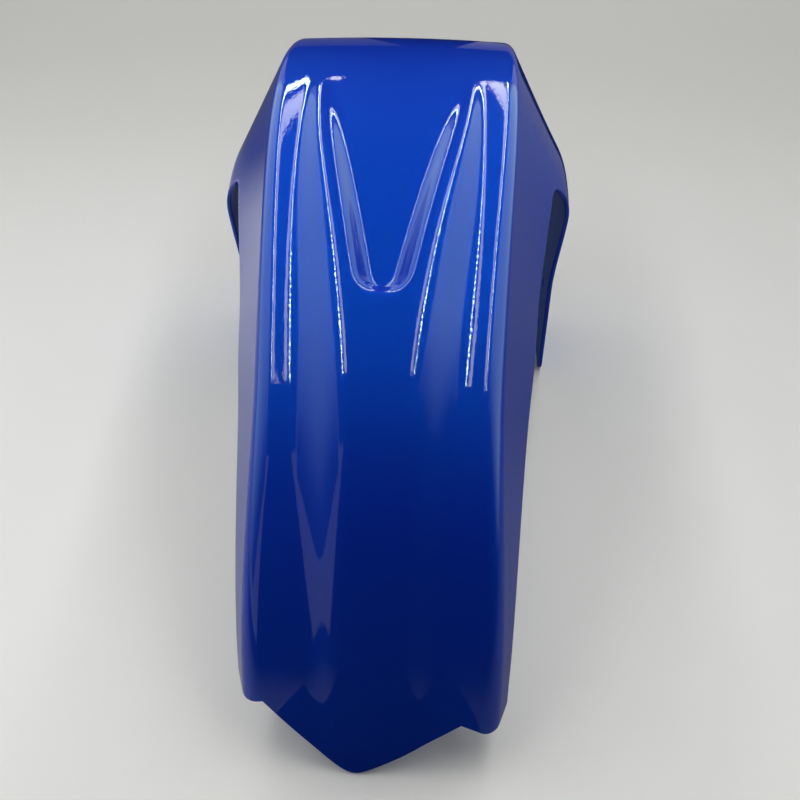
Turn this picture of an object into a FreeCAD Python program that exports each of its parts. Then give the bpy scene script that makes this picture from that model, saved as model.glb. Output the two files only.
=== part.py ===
import FreeCAD, Part
import math
import os

os.makedirs("parts", exist_ok=True)

# Arch over the tyre: angles are from straight above the axle, positive to the front
crown_radius = 305.0
skin = 3.0
tail_angle = 80.0
front_angle = 36.0

# Cross section: level top, rounded shoulder, drafted wall
corner_half_tail = 69.5
corner_half_mid = 64.0
corner_half_front = 74.5
crown_drop = 2.0
shoulder_round_rear = 12.0
shoulder_round_front = 8.0
wall_draft_rear = 17.5
wall_draft_front = 27.5

# Angles between which the section changes along the arch
tail_spread_from = -35.0
tail_spread_to = -69.0
crest_spread_from = -40.0
crest_spread_to = 16.0
wall_opens_from = -24.0
wall_opens_to = 17.0

# Ridges that rise behind the crest and join into the spine
ridge_height = 9.0
ridge_start = 8.0
ridge_full = -22.0
spine_tail_height = 1.0
plateau_half_front = 47.0
plateau_half_rear = 20.0
plateau_narrow_from = 3.0
plateau_narrow_to = -38.5
flank_foot_front = 52.5
flank_foot_tail = 31.0
flank_narrow_from = 3.0
flank_narrow_to = -72.0

# Recess between the ridges, with its round end toward the tail
recess_end = -27.2
recess_end_round = 15.3
recess_flare = 11.5
recess_wall = 7.0

# Share of a flank or recess wall that its rounded head and foot take up
slope_soft = 0.4

# Free edge of the side walls, depth below the crown
wall_depth_tail = 25.0
wall_depth_deepest = 77.0
wall_depth_leg = 66.0
deepest_from = -26.0
edge_sweep = 1.33

# Pointed tail line with a tooth at each shoulder
tail_depth = 51.5
notch_half = 55.0
tooth_length = 5.2
tip_round = 6.0
trim_skew = 6.0
trim_pivot = 92.0

# Legs, each with a bulge above and a flat pad below
bulge_half = 117.0
leg_half = 111.5
bulge_turn = 24.0
joggle_run = 74.0
upright_turn = 10.0
upright_run = 120.0
leg_rear = 30.0
foot_length = 62.0
leg_corner_round = 30.0
foot_round = 10.0

# Two bolt holes through each pad
bolt_clearance_radius = 3.3
bolt_spacing = 40.0
bolt_height = 25.0
bolt_from_heel = 31.0

# Spacing of the sections that carry the skin
FINE_STEP = 1.0
WIDE_STEP = 6.0
FINE_SPAN = 24.0
TOP_STATIONS = 16
ROUND_STATIONS = 2
WALL_STATIONS = 9
WALL_SPREAD = 1.7
MARGIN = 9.0
WALL_REACH_REAR = 0.35
WALL_REACH_FRONT = 0.95
PARTINGS = (-64.0, -40.0, -14.0, 6.0)

# How far the trimming blocks run past the skin
OUTSIDE = 1.5
LIP_OVERRUN = 0.3
TAIL_CUT_FROM = 0.8
TAIL_CUT_RUN = 0.4


def ease(t):
    t = min(1.0, max(0.0, t))
    return t * t * (3.0 - 2.0 * t)


def blend(a, b, t):
    return a + (b - a) * t


def eased(a, b, start, end, angle):
    # a at the start angle, b at the end angle, level beyond both
    return blend(a, b, ease((angle - start) / (end - start)))


def ramp(t):
    # straight slope from 0 to 1 with rounded ends
    if t <= -slope_soft:
        return 0.0
    if t >= 1.0 + slope_soft:
        return 1.0
    if t < slope_soft:
        return (t + slope_soft) ** 2 / (4.0 * slope_soft)
    if t > 1.0 - slope_soft:
        return 1.0 - (1.0 + slope_soft - t) ** 2 / (4.0 * slope_soft)
    return t


def arc_length(degrees):
    return crown_radius * math.radians(degrees)


def corner_half(angle):
    rear = eased(corner_half_mid, corner_half_tail, tail_spread_from, tail_spread_to, angle)
    return eased(rear, corner_half_front, crest_spread_from, crest_spread_to, angle)


def shoulder_round(angle):
    return eased(shoulder_round_rear, shoulder_round_front, crest_spread_from, crest_spread_to, angle)


def wall_slope(angle):
    draft = eased(wall_draft_rear, wall_draft_front, wall_opens_from, wall_opens_to, angle)
    return math.tan(math.radians(draft))


def ridge(angle):
    height = eased(ridge_height, spine_tail_height, recess_end, -tail_angle, angle)
    return eased(0.0, height, ridge_start, ridge_full, angle)


def plateau_half(angle):
    return eased(plateau_half_front, plateau_half_rear, plateau_narrow_from, plateau_narrow_to, angle)


def flank_foot(angle):
    return eased(flank_foot_front, flank_foot_tail, flank_narrow_from, flank_narrow_to, angle)


def recess_edge(x, along):
    # distance outside the rounded wedge of the recess, along is measured from its end
    lean = math.radians(recess_flare)
    ahead = along - recess_end_round
    if ahead * math.cos(lean) + abs(x) * math.sin(lean) < 0.0:
        return math.hypot(x, ahead) - recess_end_round
    return abs(x) * math.cos(lean) - ahead * math.sin(lean) - recess_end_round


def tail_line(x):
    # height of the pointed tail line above its tip
    return tail_depth / notch_half * (math.hypot(x, tip_round) - tip_round)


def trimmed(x, rise):
    # a point of the tail line, turned askew about a level above it
    lean = math.radians(trim_skew)
    across = x * math.cos(lean) + (rise - trim_pivot) * math.sin(lean)
    return across, rise * math.cos(lean) - x * math.sin(lean)


def relief(x, angle):
    # height of the moulded form over the plain arch
    half = plateau_half(angle)
    flank = 1.0 - ramp((abs(x) - half) / (flank_foot(angle) - half))
    outside = recess_edge(x, arc_length(angle - recess_end))
    recess = ramp((outside + recess_wall) / recess_wall)
    return ridge(angle) * flank * recess


def flare(angle, start, run):
    # half width of the wall at a distance below the shoulder
    slope = wall_slope(angle)
    turn = (bulge_half - start) / slope - bulge_turn / 2.0
    past = min(bulge_turn, max(0.0, run - turn))
    half = start + slope * (min(run, turn) + past - past * past / (2.0 * bulge_turn))
    return half - (bulge_half - leg_half) * ease((run - turn - bulge_turn / 2.0) / joggle_run)


def wall_length(angle):
    # untrimmed wall, long enough to pass the floor at the legs
    reach = eased(WALL_REACH_REAR, WALL_REACH_FRONT, wall_opens_from, wall_opens_to, angle)
    return crown_radius * reach


def half_section(angle):
    # points from the centre line to the end of the wall: across, up, distance down the wall
    corner = corner_half(angle)
    rounding = shoulder_round(angle)
    fall = math.atan(2.0 * crown_drop / corner)
    turn = math.pi / 2.0 - math.atan(wall_slope(angle)) - fall
    last = corner - rounding * math.tan(turn / 2.0) * math.cos(fall)
    points = []
    for i in range(TOP_STATIONS + 1):
        x = last * i / TOP_STATIONS
        points.append((x, relief(x, angle) - crown_drop * (x / corner) ** 2, 0.0))
    centre_x = last - rounding * math.sin(fall)
    centre_up = -crown_drop * (last / corner) ** 2 - rounding * math.cos(fall)
    for i in range(1, ROUND_STATIONS + 1):
        lean = fall + turn * i / ROUND_STATIONS
        x = centre_x + rounding * math.sin(lean)
        points.append((x, centre_up + rounding * math.cos(lean) + relief(x, angle), 0.0))
    start, up, _ = points[-1]
    for i in range(1, WALL_STATIONS + 1):
        run = wall_length(angle) * (i / WALL_STATIONS) ** WALL_SPREAD
        points.append((flare(angle, start, run), up, run))
    return points


def place(angle, point, side):
    # walls run toward the axle behind the crest and straight down in front of it
    x, up, run = point
    upright = (angle - math.hypot(angle, upright_turn)) / 2.0
    lean = blend(angle, upright, ease(run / upright_run))
    spot = side_point(angle, crown_radius + up) - side_point(lean, run)
    return FreeCAD.Vector(side * x, spot.y, spot.z)


def side_point(angle, radius):
    tilt = math.radians(angle)
    return FreeCAD.Vector(0.0, radius * math.sin(tilt), radius * math.cos(tilt))


def section(angle):
    half = half_section(angle)
    left = [place(angle, point, -1.0) for point in reversed(half[1:])]
    return left + [place(angle, point, 1.0) for point in half]


def section_angles():
    angles = [-tail_angle - MARGIN]
    while angles[-1] < front_angle + MARGIN:
        away = abs(angles[-1] - recess_end) / FINE_SPAN
        angles.append(angles[-1] + blend(FINE_STEP, WIDE_STEP, ease(away)))
    return angles


def moved_inward(rows, depth):
    # grid moved along its own normals
    moved = []
    for i, row in enumerate(rows):
        ahead = rows[min(i + 1, len(rows) - 1)]
        behind = rows[max(i - 1, 0)]
        line = []
        for j, point in enumerate(row):
            across = row[min(j + 1, len(row) - 1)] - row[max(j - 1, 0)]
            normal = across.cross(ahead[j] - behind[j]).normalize()
            line.append(point - normal * depth)
        moved.append(line)
    return moved


def spline(points, parameters=None):
    curve = Part.BSplineCurve()
    curve.interpolate(Points=points, Parameters=parameters or [float(i) for i in range(len(points))])
    return curve


def mean_lengths(rows):
    # distance of each station from the first, averaged over the sections
    lengths = [0.0]
    for j in range(1, len(rows[0])):
        steps = [row[j].distanceToPoint(row[j - 1]) for row in rows]
        lengths.append(lengths[-1] + sum(steps) / len(steps))
    return lengths


def skinned(rows, angles):
    # cubic surface through every section
    lengths = mean_lengths(rows)
    across = [spline(row, lengths) for row in rows]
    columns = zip(*[curve.getPoles() for curve in across])
    along = [spline(list(column), angles) for column in columns]
    surface = Part.BSplineSurface()
    surface.buildFromPolesMultsKnots(
        [curve.getPoles() for curve in along],
        across[0].getMultiplicities(), along[0].getMultiplicities(),
        across[0].getKnots(), along[0].getKnots(), False, False, 3, 3)
    return surface


def patches(surface, angles):
    # the skin parted along the shoulders and across the arch, for even facets
    knots = surface.getUKnots()
    across = [0, WALL_STATIONS, WALL_STATIONS + ROUND_STATIONS]
    across = [knots[i] for i in across] + [knots[-1 - i] for i in reversed(across)]
    along = [angles[0]] + list(PARTINGS) + [angles[-1]]
    faces = []
    for u0, u1 in zip(across, across[1:]):
        for v0, v1 in zip(along, along[1:]):
            faces.append(surface.toShape(u0, u1, v0, v1))
    return faces


def sheet():
    # the whole skin before it is trimmed
    angles = section_angles()
    rows = [section(angle) for angle in angles]
    faces = []
    rims = []
    for depth in (0.0, skin):
        surface = skinned(moved_inward(rows, depth), angles)
        u0, u1, v0, v1 = surface.bounds()
        rims.append((surface.uIso(u0), surface.uIso(u1), surface.vIso(v0), surface.vIso(v1)))
        faces += patches(surface, angles)
    for a, b in zip(*rims):
        faces.append(Part.makeRuledSurface(a.toShape(), b.toShape()))
    shell = Part.makeShell(faces)
    shell.sewShape()
    solid = Part.makeSolid(shell)
    solid.fix(0.01, 0.01, 0.01)
    return solid


def wall_depth(angle):
    # deepest behind the leg, a little less where the leg begins
    rise = min(1.0, max(0.0, (angle + tail_angle) / (deepest_from + tail_angle)))
    depth = blend(wall_depth_tail, wall_depth_deepest, ease(rise ** edge_sweep))
    return eased(depth, wall_depth_leg, deepest_from, leg_angle, angle)


def closed_face(curve, corners):
    edges = [curve.toShape()]
    for a, b in zip(corners, corners[1:]):
        edges.append(Part.makeLine(a, b))
    return Part.Face(Part.Wire(edges))


def with_rounded_corner(prism, corner, radius):
    for edge in prism.Edges:
        ends = [vertex.Point for vertex in edge.Vertexes]
        if all(math.hypot(p.y - corner.y, p.z - corner.z) < 0.01 for p in ends):
            return prism.makeFillet(radius, [edge])
    return prism


def kept_in_side_view(floor):
    # arch band and leg, seen from the side
    steps = 14
    angles = [blend(-tail_angle - MARGIN, leg_angle, i / steps) for i in range(steps + 1)]
    edge = [side_point(angle, crown_radius - wall_depth(angle)) for angle in angles]
    heel = FreeCAD.Vector(0.0, leg_rear, floor)
    toe = FreeCAD.Vector(0.0, leg_rear + foot_length, floor)
    lip = side_point(front_angle, crown_radius)
    beyond = lip + (lip - toe) * LIP_OVERRUN
    far = crown_radius * OUTSIDE
    corners = [edge[-1], heel, toe, beyond, FreeCAD.Vector(0.0, beyond.y, far),
               FreeCAD.Vector(0.0, -far, far), FreeCAD.Vector(0.0, -far, edge[0].z), edge[0]]
    width = 2.0 * bulge_half
    face = closed_face(spline(edge), corners)
    face.translate(FreeCAD.Vector(-width, 0.0, 0.0))
    prism = face.extrude(FreeCAD.Vector(2.0 * width, 0.0, 0.0))
    for corner, radius in ((edge[-1], leg_corner_round), (heel, foot_round), (toe, foot_round)):
        prism = with_rounded_corner(prism, corner, radius)
    return prism


def tail_spot(x, rise):
    across, up = trimmed(x, rise)
    spot = side_point(-tail_angle, TAIL_CUT_FROM * crown_radius) + side_point(90.0 - tail_angle, up)
    return spot + FreeCAD.Vector(across, 0.0, 0.0)


def below_tail_line():
    # everything past the tail line, run through the skin square to it
    steps = 8
    arms = [notch_half * i / steps for i in range(-steps, steps + 1)]
    curve = spline([tail_spot(x, tail_line(x)) for x in arms])
    top = tail_line(notch_half)
    tooth = top - tooth_length
    wide = 2.0 * corner_half_tail
    corners = [(notch_half, top), (corner_half_tail, tooth), (wide, tooth), (wide, -wide)]
    left = [(-x, rise) for x, rise in reversed(corners)]
    face = closed_face(curve, [tail_spot(x, rise) for x, rise in corners + left])
    return face.extrude(side_point(-tail_angle, TAIL_CUT_RUN * crown_radius))


def bolt_holes(floor):
    holes = []
    for height in (bolt_height, bolt_height + bolt_spacing):
        base = FreeCAD.Vector(-2.0 * leg_half, leg_rear + bolt_from_heel, floor + height)
        across = FreeCAD.Vector(1.0, 0.0, 0.0)
        holes.append(Part.makeCylinder(bolt_clearance_radius, 4.0 * leg_half, base, across))
    return holes


leg_angle = math.degrees(math.asin(leg_rear / (crown_radius - wall_depth_leg)))
tip_radius = crown_radius + relief(0.0, -tail_angle) - skin
floor = side_point(-tail_angle, tip_radius).z
hugger = sheet().common(kept_in_side_view(floor))
hugger = hugger.cut([below_tail_line()] + bolt_holes(floor))

# Origin in the middle of the length, on the floor that the tip and the feet stand on
tail_end = min(side_point(a - tail_angle, crown_radius + relief(0.0, a - tail_angle)).y for a in range(12))
front_end = side_point(front_angle, crown_radius).y
hugger.translate(FreeCAD.Vector(0.0, -(tail_end + front_end) / 2.0, -floor))
hugger = max(hugger.Solids, key=lambda solid: solid.Volume)
hugger.exportStep("parts/hugger_shell.step")
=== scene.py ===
import bpy
import math
import numpy as np
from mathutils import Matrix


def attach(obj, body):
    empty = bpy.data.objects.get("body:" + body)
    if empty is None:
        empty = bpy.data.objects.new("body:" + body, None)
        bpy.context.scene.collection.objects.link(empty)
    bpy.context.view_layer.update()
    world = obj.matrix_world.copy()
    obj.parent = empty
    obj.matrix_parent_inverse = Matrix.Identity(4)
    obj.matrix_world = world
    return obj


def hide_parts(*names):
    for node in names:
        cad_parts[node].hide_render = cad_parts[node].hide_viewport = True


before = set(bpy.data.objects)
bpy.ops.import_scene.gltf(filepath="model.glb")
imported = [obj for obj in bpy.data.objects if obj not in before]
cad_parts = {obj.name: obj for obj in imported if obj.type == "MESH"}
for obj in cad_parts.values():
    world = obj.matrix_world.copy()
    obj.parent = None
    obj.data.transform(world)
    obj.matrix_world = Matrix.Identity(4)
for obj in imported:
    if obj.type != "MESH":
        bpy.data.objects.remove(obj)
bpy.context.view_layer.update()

# The shell is worked out in millimetres, Blender takes metres
MM = 0.001

# Arch over the tyre; angles are in degrees from straight above the axle, toward the front
crown_radius = 305.0
skin = 3.0
tail_angle = 80.0
front_angle = 36.0

# Cross section: level top, rounded shoulder, drafted wall
corner_half_tail = 69.5
corner_half_mid = 64.0
corner_half_front = 74.5
crown_drop = 2.0
shoulder_round_rear = 12.0
shoulder_round_front = 8.0
wall_draft_rear = 17.5
wall_draft_front = 27.5

# Angles between which the section changes along the arch
tail_spread_from = -35.0
tail_spread_to = -69.0
crest_spread_from = -40.0
crest_spread_to = 16.0
wall_opens_from = -24.0
wall_opens_to = 17.0

# Ridges that rise behind the crest and join into the spine
ridge_height = 9.0
ridge_start = 8.0
ridge_full = -22.0
spine_tail_height = 1.0
plateau_half_front = 47.0
plateau_half_rear = 20.0
plateau_narrow_from = 3.0
plateau_narrow_to = -38.5
flank_foot_front = 52.5
flank_foot_tail = 31.0
flank_narrow_from = 3.0
flank_narrow_to = -72.0
slope_soft = 0.4

# Recess between the ridges, with its round end toward the tail
recess_end = -27.2
recess_end_round = 15.3
recess_flare = 11.5
recess_wall = 7.0

# Free edge of the side walls, and the rounding of every cut edge
wall_depth_tail = 25.0
wall_depth_deepest = 77.0
wall_depth_leg = 66.0
deepest_from = -26.0
edge_sweep = 1.33
edge_round = 0.9

# Pointed tail line with a tooth at each shoulder
tail_depth = 51.5
notch_half = 55.0
tooth_length = 5.2
tip_round = 6.0
trim_skew = 6.0
trim_pivot = 92.0

# Legs, each with a bulge above and a flat pad below
bulge_half = 117.0
leg_half = 111.5
bulge_turn = 24.0
joggle_run = 74.0
upright_turn = 10.0
upright_run = 120.0
leg_rear = 30.0
foot_length = 62.0
leg_corner_round = 30.0
foot_round = 10.0
bolt_clearance_radius = 3.3
bolt_spacing = 40.0
bolt_height = 25.0
bolt_from_heel = 31.0

# Angle at which the free edge of the wall meets the leg
leg_angle = math.degrees(math.asin(leg_rear / (crown_radius - wall_depth_leg)))

# Mesh cells along the arch, over the section, and round the cut edge
ROWS = 246
TOP_CELLS = 46
ROUND_CELLS = 9
WALL_CELLS = 72
RIM_STEPS = 3
HOLE_SIDES = 48

# How far the uncut skin runs: degrees past both ends, and down the walls as a share of the crown radius
ROW_MARGIN = 2.5
WALL_REACH_REAR = 0.35
WALL_REACH_FRONT = 0.95

# Smallest share of a cell's side that a cut leaves, and the step that feels for the way off an edge
LEAST_CUT = 0.04
FEELER = 0.05

# Distance that stands for no cut at all, and the degrees of tail that hold the rearmost point
FAR = 1000.0
TAIL_SEARCH = 12.0

# Room all round, and the paper that the part stands on, in metres
ROOM_COLOUR = "#dedcda"
ROOM_GLOW = 0.65
ROOM_FILL = 0.08
FLOOR_HALF = 6.0

# Studio in metres: where it ends behind and ahead of the part, and how high the cloth hangs
STUDIO_REAR = -0.9
STUDIO_FRONT = 2.2
CLOTH_HEIGHT = 0.9

# Painted shade: sheets on the paper along each side, seen only in the paint as the paper in shade, in two
# lengths that meet at the seam
SHADE_SHEET_INNER = 0.07
SHADE_SHEET_OUTER = 0.9
SHADE_SHEET_SEAM = -0.22
SHADE_SHEET_LIFT = 0.002
TAIL_FADE = 0.33
AHEAD_FADE = 0.18
PAINTED_SHADE_DARK = "#222226"

# Painted shade sheets of each side: sign of x, shade beside the part, shade ahead, where that begins
SHADE_SHEETS = {
    "left": (-1.0, "#bcbcbe", "#4c4c52", 0.28),
    "right": (1.0, "#8c8c90", "#6a6a70", -0.1),
}

# Two corners of each black cloth, seen only in the paint as painted reflection of the dark room; the narrow
# one along the middle is painted shade, and the painted shadow by the right leg lies on the shade sheet
SHADE_LIFT = 0.003
CLOTHS = {
    "cloth_above": ((-0.52, STUDIO_REAR, CLOTH_HEIGHT), (0.46, STUDIO_FRONT, CLOTH_HEIGHT)),
    "cloth_behind": ((-0.34, STUDIO_REAR, 0.0), (1.2, STUDIO_REAR, 1.4)),
    "cloth_ahead": ((-0.7, STUDIO_FRONT, 0.0), (0.7, STUDIO_FRONT, CLOTH_HEIGHT)),
    "cloth_right": ((0.95, -1.0, 0.0), (0.95, -0.36, 1.2)),
    "painted_shade_under_part": ((-SHADE_SHEET_INNER, STUDIO_REAR, SHADE_SHEET_LIFT), (SHADE_SHEET_INNER, STUDIO_FRONT, SHADE_SHEET_LIFT)),
    "painted_shadow_by_right_leg": ((0.085, 0.16, SHADE_LIFT), (0.215, 0.75, SHADE_LIFT)),
}

# Slanted glowing panel on each side, seen only in the paint and lighting nothing: a painted reflection, in
# painted shade toward its rear end; two corners, colour of its rear end, where it brightens, glow
PANEL_BOTTOM = 0.12
PANEL_TOP = 0.88
PANEL_FRONT = 1.6
PANEL_WHITE = "#e2ffe2"
PANELS = {
    "left_panel": (
        (-0.98, -1.1, PANEL_BOTTOM), (-0.54, PANEL_FRONT, PANEL_TOP), "#38383f", (-0.9, 0.05), 1.5),
    "right_panel": (
        (0.92, -0.6, PANEL_BOTTOM), (0.48, PANEL_FRONT, PANEL_TOP), "#101014", (-0.6, -0.1), 1.6),
}

# Row of small lamps overhead on each side, with a softer strip further in; face pitch in millimetres
ROW_HEIGHT = 0.89
ROW_REAR = -0.48
ROW_FRONT = 2.0
ROW_WIDTH = 0.03
ROW_RADIANCE = 20.0
FACE_HALF = 0.013
FACE_PITCH = 26.0
STRIP_INWARD = 0.075
STRIP_WIDTH = 0.05
STRIP_RADIANCE = 5.0
LAMP_ROWS = {
    "left": (-0.35, STRIP_INWARD),
    "right": (0.29, -STRIP_INWARD),
}

# Soft lamps: place, lean from facing down in degrees, size, radiance
SOFT_LAMPS = {
    "key": ((0.0, 0.65, 2.4), 0.0, (1.6, 1.6), 1.1),
    "left_fill": ((-1.0, 0.35, 0.6), -75.0, (0.8, 1.2), 1.4),
    "right_fill": ((1.0, 0.8, 0.6), 75.0, (0.8, 1.2), 1.2),
}

# Camera where the photograph was taken from: metres, degrees, pixels of the image
EYE = (0.0295, -0.5187, 0.6027)
LOOK_DOWN = 46.30
LOOK_LEFT = 2.59
FOCAL_PX = 1100.0
IMAGE_PX = 800.0
SENSOR_MM = 36.0

# Sockets of a colour mix go by number, because other kinds of mix share their names
MIX_SHARE = 0
MIX_FROM = 6
MIX_TO = 7
MIXED = 2


def ease(t):
    t = np.clip(t, 0.0, 1.0)
    return t * t * (3.0 - 2.0 * t)


def blend(a, b, t):
    return a + (b - a) * t


def eased(a, b, start, end, angle):
    # a at the start angle, b at the end angle, level beyond both
    return blend(a, b, ease((angle - start) / (end - start)))


def ramp(t):
    # straight slope from 0 to 1 with rounded ends
    t = np.clip(t, -slope_soft, 1.0 + slope_soft)
    foot = (t + slope_soft) ** 2 / (4.0 * slope_soft)
    head = 1.0 - (1.0 + slope_soft - t) ** 2 / (4.0 * slope_soft)
    return np.where(t < slope_soft, foot, np.where(t > 1.0 - slope_soft, head, t))


def corner_half(angle):
    rear = eased(corner_half_mid, corner_half_tail, tail_spread_from, tail_spread_to, angle)
    return eased(rear, corner_half_front, crest_spread_from, crest_spread_to, angle)


def shoulder_round(angle):
    return eased(shoulder_round_rear, shoulder_round_front, crest_spread_from, crest_spread_to, angle)


def wall_slope(angle):
    draft = eased(wall_draft_rear, wall_draft_front, wall_opens_from, wall_opens_to, angle)
    return np.tan(np.radians(draft))


def wall_reach(angle):
    reach = eased(WALL_REACH_REAR, WALL_REACH_FRONT, wall_opens_from, wall_opens_to, angle)
    return crown_radius * reach


def wall_depth(angle):
    # deepest behind the leg, a little less where the leg begins
    rise = np.clip((angle + tail_angle) / (deepest_from + tail_angle), 0.0, 1.0)
    depth = blend(wall_depth_tail, wall_depth_deepest, ease(rise ** edge_sweep))
    return eased(depth, wall_depth_leg, deepest_from, leg_angle, angle)


def recess_edge(x, along):
    # distance outside the rounded wedge of the recess, along is measured from its end
    lean = math.radians(recess_flare)
    ahead = along - recess_end_round
    round_end = np.hypot(x, ahead)
    straight = np.abs(x) * math.cos(lean) - ahead * math.sin(lean)
    behind = ahead * math.cos(lean) + np.abs(x) * math.sin(lean) < 0.0
    return np.where(behind, round_end, straight) - recess_end_round


def relief(x, angle):
    # height of the ridges and the spine over the plain arch
    height = eased(ridge_height, spine_tail_height, recess_end, -tail_angle, angle)
    height = eased(0.0, height, ridge_start, ridge_full, angle)
    half = eased(plateau_half_front, plateau_half_rear, plateau_narrow_from, plateau_narrow_to, angle)
    foot = eased(flank_foot_front, flank_foot_tail, flank_narrow_from, flank_narrow_to, angle)
    flank = 1.0 - ramp((np.abs(x) - half) / (foot - half))
    outside = recess_edge(x, crown_radius * np.radians(angle - recess_end))
    return height * flank * ramp((outside + recess_wall) / recess_wall)


# Place of the axle in the part's frame: midway between tail and front lip, floor under the tail tip
tail_steps = np.arange(TAIL_SEARCH) - tail_angle
tail_rise = relief(np.zeros_like(tail_steps), tail_steps)
tail_end = ((crown_radius + tail_rise) * np.sin(np.radians(tail_steps))).min()
front_end = crown_radius * math.sin(math.radians(front_angle))
floor_drop = (crown_radius + float(tail_rise[0]) - skin) * math.cos(math.radians(tail_angle))
axle = np.array([0.0, -(tail_end + front_end) / 2.0, -floor_drop])


def flare(angle, start, run):
    # half width of the wall at a distance below the shoulder
    slope = wall_slope(angle)
    turn = (bulge_half - start) / slope - bulge_turn / 2.0
    past = np.clip(run - turn, 0.0, bulge_turn)
    half = start + slope * (np.minimum(run, turn) + past - past ** 2 / (2.0 * bulge_turn))
    return half - (bulge_half - leg_half) * ease((run - turn - bulge_turn / 2.0) / joggle_run)


def outer_skin():
    # grid of points from wall end to wall end, one row per angle from tail to front
    angle = np.linspace(-tail_angle - ROW_MARGIN, front_angle + ROW_MARGIN, ROWS)[:, None]
    corner = corner_half(angle)
    rounding = shoulder_round(angle)
    fall = np.arctan(2.0 * crown_drop / corner)
    turn = np.pi / 2.0 - np.arctan(wall_slope(angle)) - fall
    last = corner - rounding * np.tan(turn / 2.0) * np.cos(fall)
    top_x = last * np.linspace(0.0, 1.0, TOP_CELLS + 1)
    top_up = relief(top_x, angle) - crown_drop * (top_x / corner) ** 2
    lean = fall + turn * np.linspace(0.0, 1.0, ROUND_CELLS + 1)[1:]
    round_x = last + rounding * (np.sin(lean) - np.sin(fall))
    round_up = rounding * (np.cos(lean) - np.cos(fall)) - crown_drop * (last / corner) ** 2
    round_up = round_up + relief(round_x, angle)
    wall_run = wall_reach(angle) * np.linspace(0.0, 1.0, WALL_CELLS + 1)[1:]
    wall_x = flare(angle, round_x[:, -1:], wall_run)
    wall_up = np.repeat(round_up[:, -1:], WALL_CELLS, axis=1)
    across = np.hstack([top_x, round_x, wall_x])
    up = np.hstack([top_up, round_up, wall_up])
    run = np.hstack([np.zeros_like(top_x), np.zeros_like(round_x), wall_run])
    # walls run toward the axle behind the crest and straight down in front of it
    upright = (angle - np.hypot(angle, upright_turn)) / 2.0
    down = np.radians(blend(angle, upright, ease(run / upright_run)))
    out = np.radians(angle)
    y = (crown_radius + up) * np.sin(out) - run * np.sin(down)
    z = (crown_radius + up) * np.cos(out) - run * np.cos(down)
    right = np.stack([across, y, z], axis=-1)
    left = right[:, :0:-1] * (-1.0, 1.0, 1.0)
    return np.concatenate([left, right], axis=1)


def outward(grid):
    normal = np.cross(np.gradient(grid, axis=1), np.gradient(grid, axis=0))
    return normal / np.linalg.norm(normal, axis=-1, keepdims=True)


def rounded_join(a, b, radius):
    # either of two kept regions, their inner corner rounded
    reach = np.hypot(np.maximum(radius + a, 0.0), np.maximum(radius + b, 0.0))
    return reach - np.maximum(radius, np.minimum(-a, -b))


def rounded_overlap(a, b, radius):
    # both of two kept regions, their outer corner rounded
    reach = np.hypot(np.maximum(radius - a, 0.0), np.maximum(radius - b, 0.0))
    return np.maximum(radius, np.minimum(a, b)) - reach


def kept_in_side_view(y, z):
    # arch band and leg: how far a point is inside their outline
    angle = np.degrees(np.arctan2(y, z))
    band = np.hypot(y, z) - crown_radius + wall_depth(angle)
    above_floor = np.where(y > 0.0, z - floor_drop, FAR)
    front = math.radians(front_angle)
    lip = crown_radius * np.array([math.sin(front), math.cos(front)])
    toe = np.array([leg_rear + foot_length, floor_drop])
    rise = (lip - toe) / np.linalg.norm(lip - toe)
    behind_front = (z - toe[1]) * rise[0] - (y - toe[0]) * rise[1]
    kept = rounded_join(band, y - leg_rear, leg_corner_round)
    kept = rounded_overlap(kept, above_floor, foot_round)
    return rounded_overlap(kept, behind_front, foot_round)


def kept_above_tail_line(x, y, z):
    # the pointed line with its two notches and teeth, cut a little askew
    tilt = math.radians(90.0 - tail_angle)
    lean = math.radians(trim_skew)
    up = y * math.sin(tilt) + z * math.cos(tilt)
    across = x + trim_pivot * math.sin(lean)
    half = np.abs(across * math.cos(lean) - up * math.sin(lean))
    rise = across * math.sin(lean) + up * math.cos(lean)
    slope = tail_depth / notch_half
    arm = slope * (np.hypot(half, tip_round) - tip_round)
    top = slope * (math.hypot(notch_half, tip_round) - tip_round)
    tooth = np.clip((half - notch_half) / (corner_half_tail - notch_half), 0.0, 1.0)
    line = np.where(half < notch_half, arm, top - tooth_length * tooth)
    return np.where(y < 0.0, (rise - line) / math.hypot(1.0, slope), FAR)


def inside_trim(points):
    # how far each point is inside the trim line
    x, y, z = np.moveaxis(points, -1, 0)
    return np.minimum(kept_in_side_view(y, z), kept_above_tail_line(x, y, z))


def off_the_edge(points, normals):
    # direction in the skin that points out over the cut edge
    steps = FEELER * np.eye(3)
    slope = np.stack([inside_trim(points + step) - inside_trim(points - step) for step in steps], axis=-1)
    slope -= normals * (slope * normals).sum(axis=1, keepdims=True)
    return -slope / np.linalg.norm(slope, axis=1, keepdims=True)


def cut_cell(cell, inside, cut_place):
    # what is left of a cell that the trim line crosses, and the edge along the line
    face = []
    leaving = None
    entering = None
    for a, b in zip(cell, cell[1:] + cell[:1]):
        if inside[a] >= 0.0:
            face.append(a)
        if (inside[a] >= 0.0) != (inside[b] >= 0.0):
            place = cut_place(min(a, b), max(a, b))
            face.append(place)
            if inside[a] >= 0.0:
                leaving = place
            else:
                entering = place
    return face, (leaving, entering)


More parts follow.
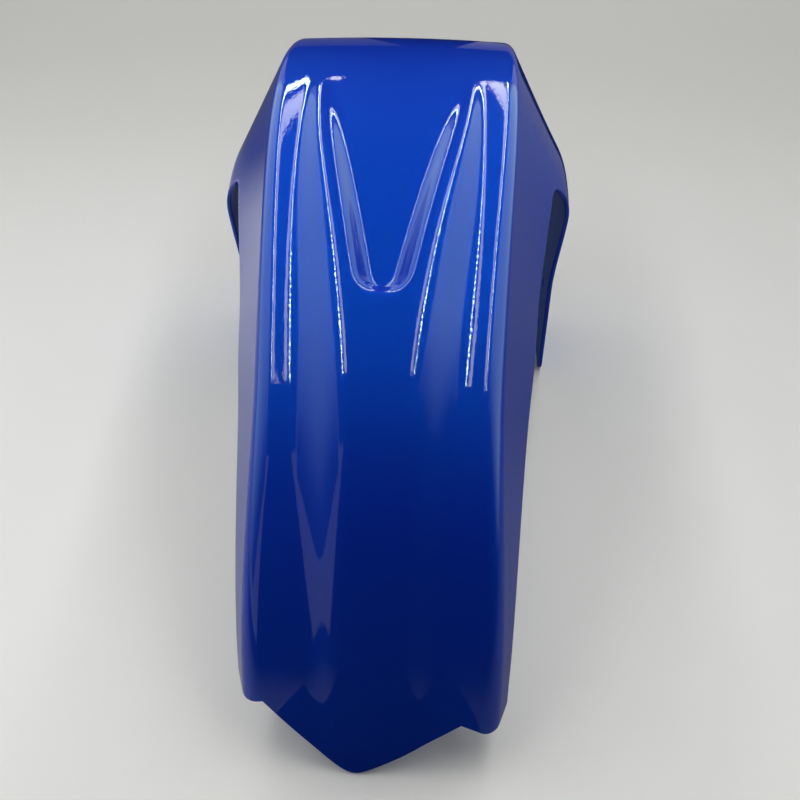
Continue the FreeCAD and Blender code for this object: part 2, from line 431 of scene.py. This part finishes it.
def trimmed(grid):
    # cells of the grid inside the trim line, those on the line cut along it
    points = grid.reshape(-1, 3)
    normals = outward(grid).reshape(-1, 3)
    inside = inside_trim(points) - edge_round
    corner = np.arange(len(points)).reshape(grid.shape[:2])
    corners = [corner[:-1, :-1], corner[:-1, 1:], corner[1:, 1:], corner[1:, :-1]]
    cells = np.stack(corners, axis=-1).reshape(-1, 4)
    held = (inside[cells] >= 0.0).sum(axis=1)
    faces = cells[held == 4].tolist()
    rim = []
    cuts = {}

    def cut_place(a, b):
        return cuts.setdefault((a, b), len(points) + len(cuts))

    for cell in cells[(held > 0) & (held < 4)].tolist():
        face, edge = cut_cell(cell, inside, cut_place)
        faces.append(face)
        rim.append(edge)
    first, second = np.array(list(cuts)).T
    share = inside[first] / (inside[first] - inside[second])
    share = np.clip(share, LEAST_CUT, 1.0 - LEAST_CUT)[:, None]
    cut_points = blend(points[first], points[second], share)
    cut_normals = blend(normals[first], normals[second], share)
    cut_normals /= np.linalg.norm(cut_normals, axis=1, keepdims=True)
    return np.vstack([points, cut_points]), np.vstack([normals, cut_normals]), faces, rim


def trimmed_skin():
    # the trimmed grid with only the points that it uses
    points, normals, faces, rim = trimmed(outer_skin())
    used = np.unique(np.concatenate([np.array(face) for face in faces]))
    fresh = np.full(len(points), -1)
    fresh[used] = np.arange(len(used))
    faces = [fresh[face].tolist() for face in faces]
    rim = [fresh[list(edge)].tolist() for edge in rim]
    return points[used], normals[used], faces, rim


def rim_rings(points, normals):
    # rings of points that lead round the cut edge from the outer to the inner skin
    out = off_the_edge(points, normals)
    turns = np.linspace(0.0, np.pi / 2.0, RIM_STEPS + 1)[1:]
    falls = edge_round * (1.0 - np.cos(turns))
    reaches = edge_round * np.sin(turns)
    outer = [points + out * reach - normals * fall for reach, fall in zip(reaches, falls)]
    inner = [points + out * reach - normals * (skin - fall) for reach, fall in zip(reaches, falls)]
    return outer + inner[::-1]


def rim_faces(rim, ends, count, rings):
    # strip of faces over the rings, from each cut edge of the outer skin to the one below it
    place = {corner: 2 * count + i for i, corner in enumerate(ends)}
    faces = []
    for a, b in rim:
        a_line = [a] + [place[a] + k * len(ends) for k in range(rings)] + [a + count]
        b_line = [b] + [place[b] + k * len(ends) for k in range(rings)] + [b + count]
        for k in range(rings + 1):
            faces.append([b_line[k], a_line[k], a_line[k + 1], b_line[k + 1]])
    return faces


def moulded_shell():
    # outer and inner skin, joined round the trim line by a rounded rim
    points, normals, outer, rim = trimmed_skin()
    count = len(points)
    inner = [[corner + count for corner in reversed(face)] for face in outer]
    ends = sorted({corner for edge in rim for corner in edge})
    rings = rim_rings(points[ends], normals[ends])
    painted = outer + rim_faces(rim, ends, count, len(rings))
    everything = np.vstack([points, points - normals * skin] + rings)
    mesh = bpy.data.meshes.new("hugger")
    mesh.from_pydata(((everything + axle) * MM).tolist(), [], painted + inner)
    mesh.polygons.foreach_set("material_index", [0] * len(painted) + [1] * len(inner))
    mesh.polygons.foreach_set("use_smooth", [True] * len(mesh.polygons))
    mesh.update()
    shell = bpy.data.objects.new("hugger", mesh)
    bpy.context.scene.collection.objects.link(shell)
    return shell


def drill_pads(shell):
    # two clearance holes, each right through both pads
    through = 2.4 * leg_half * MM
    for height in (bolt_height, bolt_height + bolt_spacing):
        bpy.ops.mesh.primitive_cylinder_add(
            vertices=HOLE_SIDES, radius=bolt_clearance_radius * MM, depth=through,
            location=(0.0, (leg_rear + bolt_from_heel + axle[1]) * MM, height * MM),
            rotation=(0.0, math.pi / 2.0, 0.0))
        drill = bpy.context.object
        cut = shell.modifiers.new("hole", "BOOLEAN")
        cut.operation = "DIFFERENCE"
        cut.solver = "EXACT"
        cut.object = drill
        with bpy.context.temp_override(object=shell):
            bpy.ops.object.modifier_apply(modifier=cut.name)
        bpy.data.objects.remove(drill)


def linear(colour):
    # sRGB hex to the linear values that shaders take
    parts = [int(colour[i:i + 2], 16) / 255.0 for i in (1, 3, 5)]
    return [c / 12.92 if c <= 0.04045 else ((c + 0.055) / 1.055) ** 2.4 for c in parts] + [1.0]


def add(tree, kind, settings=None, values=None, links=None):
    # node with its settings, the values of its open sockets and what is linked into the others
    node = tree.nodes.new(kind)
    for name, value in (settings or {}).items():
        setattr(node, name, value)
    for name, value in (values or {}).items():
        node.inputs[name].default_value = value
    for name, source in (links or {}).items():
        tree.links.new(source, node.inputs[name])
    return node


def blank_material(name):
    material = bpy.data.materials.new(name)
    material.use_nodes = True
    material.node_tree.nodes.clear()
    return material, material.node_tree


def per_metre(size_mm):
    # texture scale for a feature of this size
    return 1.0 / (size_mm * MM)


def metallic_blue_paint():
    # Sprayed metallic base under a thick clear coat: violet-blue pigment, and flake that lights up where it
    # faces a lamp, so that the paint is bright on the crest and deep at the tail
    flake_size = 1.0
    flake_share = 0.31
    peel_size = 2.2
    peel_depth = 0.022
    ripple_size = 28.0
    ripple_depth = 0.035
    material, tree = blank_material("metallic_blue_paint")
    spot = add(tree, "ShaderNodeTexCoord").outputs["Object"]
    # aluminium flake is far finer than a pixel, drawn at 1 mm so that it shows
    speck = add(tree, "ShaderNodeTexNoise", values={"Scale": per_metre(flake_size), "Detail": 2.0},
                links={"Vector": spot})
    glint = add(tree, "ShaderNodeMix", {"data_type": "RGBA"},
                {MIX_FROM: linear("#0458be"), MIX_TO: linear("#0868d6")},
                {MIX_SHARE: speck.outputs["Fac"]})
    # slow ripple of a hand-laid laminate, and over it the orange peel of the clear coat
    ripple = add(tree, "ShaderNodeTexNoise", values={"Scale": per_metre(ripple_size), "Detail": 1.0},
                 links={"Vector": spot})
    slow = add(tree, "ShaderNodeBump", values={"Distance": ripple_depth * MM},
               links={"Height": ripple.outputs["Fac"]})
    peel = add(tree, "ShaderNodeTexNoise", values={"Scale": per_metre(peel_size), "Detail": 1.0},
               links={"Vector": spot})
    fine = add(tree, "ShaderNodeBump", values={"Distance": peel_depth * MM},
               links={"Height": peel.outputs["Fac"], "Normal": slow.outputs["Normal"]})
    coat = {"Specular IOR Level": 0.0, "Coat Weight": 1.0, "Coat Roughness": 0.03, "Coat IOR": 1.5}
    dents = {"Normal": slow.outputs["Normal"], "Coat Normal": fine.outputs["Normal"]}
    pigment = add(tree, "ShaderNodeBsdfPrincipled", values={"Base Color": linear("#0c20a8"), **coat},
                  links=dents)
    flake = add(tree, "ShaderNodeBsdfPrincipled", values={"Metallic": 1.0, "Roughness": 0.5, **coat},
                links={"Base Color": glint.outputs[MIXED], **dents})
    paint = add(tree, "ShaderNodeMixShader", values={"Fac": flake_share},
                links={1: pigment.outputs["BSDF"], 2: flake.outputs["BSDF"]})
    add(tree, "ShaderNodeOutputMaterial", links={"Surface": paint.outputs["Shader"]})
    return material


def glass_mat_laminate():
    # Inside of a hand-laid moulding: a thin blue coat over the print of the glass strands
    strand_width = 1.6
    width_to_length = 0.06
    print_depth = 0.25
    material, tree = blank_material("glass_mat_laminate")
    spot = add(tree, "ShaderNodeTexCoord").outputs["Object"]
    # strands lie in three directions, and the highest one shows
    heights = []
    for turn in (0.4, 1.5, 2.6):
        strand = add(tree, "ShaderNodeMapping",
                     values={"Rotation": (turn, turn * 0.7, turn), "Scale": (width_to_length, 1.0, 1.0)},
                     links={"Vector": spot})
        height = add(tree, "ShaderNodeTexNoise", values={"Scale": per_metre(strand_width), "Detail": 1.0},
                     links={"Vector": strand.outputs["Vector"]})
        heights.append(height.outputs["Fac"])
    crossing = add(tree, "ShaderNodeMath", {"operation": "MAXIMUM"},
                   links={0: heights[0], 1: heights[1]})
    mat = add(tree, "ShaderNodeMath", {"operation": "MAXIMUM"},
              links={0: crossing.outputs[0], 1: heights[2]})
    colour = add(tree, "ShaderNodeMix", {"data_type": "RGBA"},
                 {MIX_FROM: linear("#24428c"), MIX_TO: linear("#30529c")}, {MIX_SHARE: mat.outputs[0]})
    print_through = add(tree, "ShaderNodeBump", values={"Distance": print_depth * MM},
                        links={"Height": mat.outputs[0]})
    coat = add(tree, "ShaderNodeBsdfPrincipled", values={"Roughness": 0.5, "Specular IOR Level": 0.3},
               links={"Base Color": colour.outputs[MIXED], "Normal": print_through.outputs["Normal"]})
    add(tree, "ShaderNodeOutputMaterial", links={"Surface": coat.outputs["BSDF"]})
    return material


def pale_paper():
    # Matt paper under the part, a faint mottle; the other sizes here are metres
    mottle_size = 60.0
    grey_from = -0.45
    grey_to = 0.65
    sweep_from = 0.6
    sweep_to = 1.5
    material, tree = blank_material("pale_paper")
    spot = add(tree, "ShaderNodeTexCoord").outputs["Object"]
    mottle = add(tree, "ShaderNodeTexNoise", values={"Scale": per_metre(mottle_size), "Detail": 3.0},
                 links={"Vector": spot})
    near = add(tree, "ShaderNodeMix", {"data_type": "RGBA"},
               {MIX_FROM: linear("#f6f5f2"), MIX_TO: linear("#faf9f6")}, {MIX_SHARE: mottle.outputs["Fac"]})
    # painted shade: greyer toward the back, where the light falls off
    place = add(tree, "ShaderNodeSeparateXYZ", links={"Vector": spot})
    back = add(tree, "ShaderNodeMapRange", {"interpolation_type": "SMOOTHSTEP"},
               {"From Min": grey_from, "From Max": grey_to}, {"Value": place.outputs["Y"]})
    colour = add(tree, "ShaderNodeMix", {"data_type": "RGBA"}, {MIX_TO: linear("#b2b1af")},
                 {MIX_SHARE: back.outputs["Result"], MIX_FROM: near.outputs[MIXED]})
    sheet = add(tree, "ShaderNodeBsdfPrincipled", values={"Roughness": 0.7},
                links={"Base Color": colour.outputs[MIXED]})
    # far out it passes into the room
    reach = add(tree, "ShaderNodeVectorMath", {"operation": "LENGTH"}, links={0: spot})
    sweep = add(tree, "ShaderNodeMapRange", {"interpolation_type": "SMOOTHSTEP"},
                {"From Min": sweep_from, "From Max": sweep_to}, {"Value": reach.outputs["Value"]})
    backdrop = add(tree, "ShaderNodeEmission", values={"Color": linear(ROOM_COLOUR), "Strength": ROOM_GLOW})
    paper = add(tree, "ShaderNodeMixShader", links={
        0: sweep.outputs["Result"], 1: sheet.outputs["BSDF"], 2: backdrop.outputs["Emission"]})
    add(tree, "ShaderNodeOutputMaterial", links={"Surface": paper.outputs["Shader"]})
    return material


def black_cloth():
    # Dull black cloth, seen only in the paint as its dark parts: painted reflection of the dark room, and
    # painted shade under the part
    material, tree = blank_material("black_cloth")
    weave = add(tree, "ShaderNodeBsdfDiffuse", values={"Color": linear("#0c0c0e")})
    add(tree, "ShaderNodeOutputMaterial", links={"Surface": weave.outputs["BSDF"]})
    return material


def fading_reflection(name, near, far, start, end, glow=0.0):
    # Painted reflection: a dull sheet of painted shade, or a glowing panel, that changes softly along the
    # part and is seen only in the paint
    material, tree = blank_material(name)
    spot = add(tree, "ShaderNodeTexCoord").outputs["Object"]
    place = add(tree, "ShaderNodeSeparateXYZ", links={"Vector": spot})
    along = add(tree, "ShaderNodeMapRange", {"interpolation_type": "SMOOTHSTEP"},
                {"From Min": start, "From Max": end}, {"Value": place.outputs["Y"]})
    colour = add(tree, "ShaderNodeMix", {"data_type": "RGBA"},
                 {MIX_FROM: linear(near), MIX_TO: linear(far)}, {MIX_SHARE: along.outputs["Result"]})
    if glow:
        face = add(tree, "ShaderNodeEmission", values={"Strength": glow},
                   links={"Color": colour.outputs[MIXED]})
    else:
        face = add(tree, "ShaderNodeBsdfDiffuse", links={"Color": colour.outputs[MIXED]})
    add(tree, "ShaderNodeOutputMaterial", links={"Surface": face.outputs[0]})
    return material


def lamp_faces():
    # Row of small lamps, seen in the paint as a line of bright dots
    between_lamps = 3.0
    on_lamps = 42.0
    material, tree = blank_material("lamp_faces")
    spot = add(tree, "ShaderNodeTexCoord").outputs["Object"]
    # this wave has a period of pi / 10 at a scale of 1
    bands = add(tree, "ShaderNodeTexWave", {"bands_direction": "Y"},
                {"Scale": math.pi / 10.0 * per_metre(FACE_PITCH)}, {"Vector": spot})
    power = add(tree, "ShaderNodeMapRange",
                values={"From Min": 0.35, "From Max": 0.65, "To Min": between_lamps, "To Max": on_lamps},
                links={"Value": bands.outputs["Fac"]})
    face = add(tree, "ShaderNodeEmission", values={"Color": linear("#dcfff0")},
               links={"Strength": power.outputs["Result"]})
    add(tree, "ShaderNodeOutputMaterial", links={"Surface": face.outputs["Emission"]})
    return material


def flat_sheet(name, corners, material):
    mesh = bpy.data.meshes.new(name)
    mesh.from_pydata(corners, [], [(0, 1, 2, 3)])
    mesh.materials.append(material)
    sheet = bpy.data.objects.new(name, mesh)
    bpy.context.scene.collection.objects.link(sheet)
    return sheet


def mirrored_sheet(name, low, high, material):
    # flat rectangle between two corners, there for reflections only
    (x0, y0, z0), (x1, y1, z1) = low, high
    if y0 == y1:
        corners = [(x0, y0, z0), (x1, y0, z0), (x1, y0, z1), (x0, y0, z1)]
    else:
        corners = [(x0, y0, z0), (x0, y1, z0), (x1, y1, z1), (x1, y0, z1)]
    sheet = flat_sheet(name, corners, material)
    sheet.visible_camera = False
    sheet.visible_shadow = False
    sheet.visible_diffuse = False


def lamp(name, place, lean, size, radiance, mirrored=False):
    # panel of even glow that leans from facing down, its power worked out from how bright its face looks
    data = bpy.data.lights.new(name, "AREA")
    data.shape = "RECTANGLE"
    data.size, data.size_y = size
    data.energy = radiance * math.pi * size[0] * size[1]
    panel = bpy.data.objects.new(name, data)
    panel.location = place
    panel.rotation_euler = (0.0, math.radians(lean), 0.0)
    panel.visible_glossy = mirrored
    bpy.context.scene.collection.objects.link(panel)


def lay_shade_sheets(name, side, shade, dim, dim_from):
    # painted shade of the paper along one side, seen only in the paint: darkest behind the tail and dim
    # again ahead
    inner = side * SHADE_SHEET_INNER
    outer = side * SHADE_SHEET_OUTER
    tail_shade = fading_reflection(name + "_tail_shade", PAINTED_SHADE_DARK, shade, SHADE_SHEET_SEAM - TAIL_FADE, SHADE_SHEET_SEAM)
    side_shade = fading_reflection(name + "_side_shade", shade, dim, dim_from, dim_from + AHEAD_FADE)
    mirrored_sheet(name + "_shade_by_tail", (inner, STUDIO_REAR, SHADE_SHEET_LIFT), (outer, SHADE_SHEET_SEAM, SHADE_SHEET_LIFT),
                   tail_shade)
    mirrored_sheet(name + "_shade_by_side", (inner, SHADE_SHEET_SEAM, SHADE_SHEET_LIFT), (outer, STUDIO_FRONT, SHADE_SHEET_LIFT),
                   side_shade)


def hang_lamp_row(name, x, inward, faces):
    # bright dots that the paint mirrors, the light that they give, and a softer strip beside them
    middle = (ROW_REAR + ROW_FRONT) / 2.0
    length = ROW_FRONT - ROW_REAR
    mirrored_sheet(name + "_lamp_faces", (x - FACE_HALF, ROW_REAR, ROW_HEIGHT),
                   (x + FACE_HALF, ROW_FRONT, ROW_HEIGHT), faces)
    lamp(name + "_lamp_row", (x, middle, ROW_HEIGHT), 0.0, (ROW_WIDTH, length), ROW_RADIANCE)
    lamp(name + "_soft_strip", (x + inward, middle, ROW_HEIGHT), 0.0, (STRIP_WIDTH, length), STRIP_RADIANCE,
         mirrored=True)


def room():
    # pale all round to the eye and in reflections, dimmer as a light
    world = bpy.data.worlds.new("room")
    world.use_nodes = True
    tree = world.node_tree
    tree.nodes.clear()
    path = add(tree, "ShaderNodeLightPath")
    seen = add(tree, "ShaderNodeMath", {"operation": "MAXIMUM"},
               links={0: path.outputs["Is Camera Ray"], 1: path.outputs["Is Glossy Ray"]})
    seen = add(tree, "ShaderNodeMath", {"operation": "MAXIMUM"},
               links={0: seen.outputs[0], 1: path.outputs["Is Transmission Ray"]})
    strength = add(tree, "ShaderNodeMapRange", values={"To Min": ROOM_FILL, "To Max": ROOM_GLOW},
                   links={"Value": seen.outputs[0]})
    sky = add(tree, "ShaderNodeBackground", values={"Color": linear(ROOM_COLOUR)},
              links={"Strength": strength.outputs["Result"]})
    add(tree, "ShaderNodeOutputWorld", links={"Surface": sky.outputs["Background"]})
    bpy.context.scene.world = world


def studio():
    # pale paper under soft light; the paint mirrors two rows of lamps, and sheets seen only in the paint
    # add painted reflections: a slanted panel on each side, dark cloth and painted shade of the paper
    floor = [(-FLOOR_HALF, -FLOOR_HALF, 0.0), (FLOOR_HALF, -FLOOR_HALF, 0.0),
             (FLOOR_HALF, FLOOR_HALF, 0.0), (-FLOOR_HALF, FLOOR_HALF, 0.0)]
    flat_sheet("floor", floor, pale_paper())
    cloth = black_cloth()
    for name, (low, high) in CLOTHS.items():
        mirrored_sheet(name, low, high, cloth)
    for name, (side, shade, dim, dim_from) in SHADE_SHEETS.items():
        lay_shade_sheets(name, side, shade, dim, dim_from)
    for name, (low, high, dark, (start, end), glow) in PANELS.items():
        mirrored_sheet(name, low, high, fading_reflection(name + "_face", dark, PANEL_WHITE, start, end, glow))
    faces = lamp_faces()
    for name, (x, inward) in LAMP_ROWS.items():
        hang_lamp_row(name, x, inward, faces)
    for name, (place, lean, size, radiance) in SOFT_LAMPS.items():
        lamp(name, place, lean, size, radiance)
    room()


def camera():
    data = bpy.data.cameras.new("camera")
    data.sensor_width = SENSOR_MM
    data.lens = SENSOR_MM * FOCAL_PX / IMAGE_PX
    data.clip_start = 0.01
    view = bpy.data.objects.new("camera", data)
    view.location = EYE
    view.rotation_euler = (math.radians(90.0 - LOOK_DOWN), 0.0, math.radians(LOOK_LEFT))
    bpy.context.scene.collection.objects.link(view)
    bpy.context.scene.camera = view


hugger = moulded_shell()
hugger.data.materials.append(metallic_blue_paint())
hugger.data.materials.append(glass_mat_laminate())
drill_pads(hugger)
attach(hugger, "root")
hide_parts("hugger_shell")
studio()
camera()
bpy.context.scene.view_settings.view_transform = "Standard"
